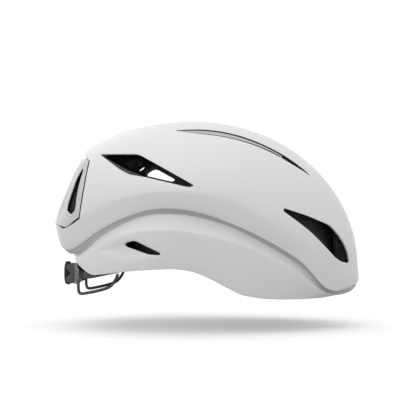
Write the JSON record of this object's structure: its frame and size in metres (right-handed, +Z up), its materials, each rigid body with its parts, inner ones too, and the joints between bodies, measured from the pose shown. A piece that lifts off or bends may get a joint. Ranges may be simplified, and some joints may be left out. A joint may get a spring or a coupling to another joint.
{
  "type": "road bike helmet",
  "caption": "Smooth aero road helmet: two-piece shell with side, crown and rear vents over a sliding foam liner, with pads, webbing, chin buckle and a head cradle tightened by a dial.",
  "frame": {"origin": "centre of the head that the helmet sits on, on the helmet's middle plane", "axes": "+X looks ahead, +Y is the wearer's left and +Z is up"},
  "size_m": [0.2904, 0.211, 0.1642],
  "materials": {
    "shell_white": "matte white polycarbonate shell",
    "frame_white": "matte pale grey moulded plastic",
    "tray_grey": "matte light grey moulded plastic",
    "foam": "moulded black bead foam",
    "tether_rubber": "soft black elastomer",
    "pad_cloth": "brushed knit over soft foam",
    "hook_discs": "hook tape",
    "cradle_plastic": "satin dark grey moulded plastic",
    "screw_steel": "blackened steel",
    "grip_rubber": "matte black rubber",
    "gear_plastic": "satin black moulded plastic",
    "webbing": "woven black webbing"
  },
  "bodies": {
    "shell": {"upper_shell": "shell_white", "lower_shell": "shell_white", "rear_vent_frame": "frame_white", "slot_tray_left": "tray_grey", "slot_tray_right": "tray_grey", "outer_liner": "foam", "tether_posts": "tether_rubber"},
    "inner": {"inner_liner": "foam", "brow_pad": "pad_cloth", "crown_pad_left": "pad_cloth", "crown_pad_right": "pad_cloth", "side_pad_left": "pad_cloth", "side_pad_right": "pad_cloth", "rear_pad": "pad_cloth", "pad_discs": "hook_discs", "temple_anchor_left": "cradle_plastic", "temple_anchor_right": "cradle_plastic", "hanger_socket": "cradle_plastic", "front_strap_left": "webbing", "front_strap_right": "webbing", "rear_strap_left": "webbing", "rear_strap_right": "webbing", "strap_divider_left": "gear_plastic", "strap_divider_right": "gear_plastic", "chin_strap_left": "webbing", "chin_strap_right": "webbing", "buckle_socket": "gear_plastic"},
    "cradle": {"cradle_yoke": "cradle_plastic", "arm_left": "cradle_plastic", "arm_right": "cradle_plastic", "arm_clip_left": "cradle_plastic", "arm_clip_right": "cradle_plastic", "neck_loop_left": "cradle_plastic", "neck_loop_right": "cradle_plastic", "rack_cover": "cradle_plastic", "height_hanger": "cradle_plastic", "neck_pad_left": "pad_cloth", "neck_pad_right": "pad_cloth", "cover_screws": "screw_steel"},
    "dial": {"dial_knob": "cradle_plastic", "dial_grip": "grip_rubber", "pinion": "gear_plastic"},
    "rack_upper": {"rack_left": "gear_plastic"},
    "rack_lower": {"rack_right": "gear_plastic"},
    "buckle": {"buckle_insert": "gear_plastic"}
  },
  "joints": [
    {"name": "liner_pitch", "type": "hinge", "parent": "shell", "child": "inner", "pos_m": [0, 0, 0], "axis": [0, 1, 0], "range_deg": [-3, 0], "stiffness_Nm_per_rad": 30},
    {"name": "cradle_height", "type": "hinge", "parent": "inner", "child": "cradle", "pos_m": [0.035, 0, -0.01], "axis": [0, -1, 0], "range_deg": [0, 6]},
    {"name": "dial_spin", "type": "hinge", "parent": "cradle", "child": "dial", "pos_m": [-0.135, 0, -0.016], "axis": [1, 0, 0], "range_deg": [0, 240]},
    {"name": "rack_upper_draw", "type": "hinge", "parent": "cradle", "child": "rack_upper", "pos_m": [-0.03, 0, -0.016], "axis": [0, 0, 1], "range_deg": [0, 9.4]},
    {"name": "rack_lower_draw", "type": "hinge", "parent": "cradle", "child": "rack_lower", "pos_m": [-0.03, 0, -0.016], "axis": [0, 0, 1], "range_deg": [-9.4, 0]},
    {"name": "buckle_release", "type": "slide", "parent": "inner", "child": "buckle", "axis": [0, 1, 0], "range_m": [0, 0.015]}
  ],
  "couplings": [
    {"joint": "rack_upper_draw", "follows": "dial_spin", "ratio": 0.038835},
    {"joint": "rack_lower_draw", "follows": "dial_spin", "ratio": -0.038835}
  ]
}
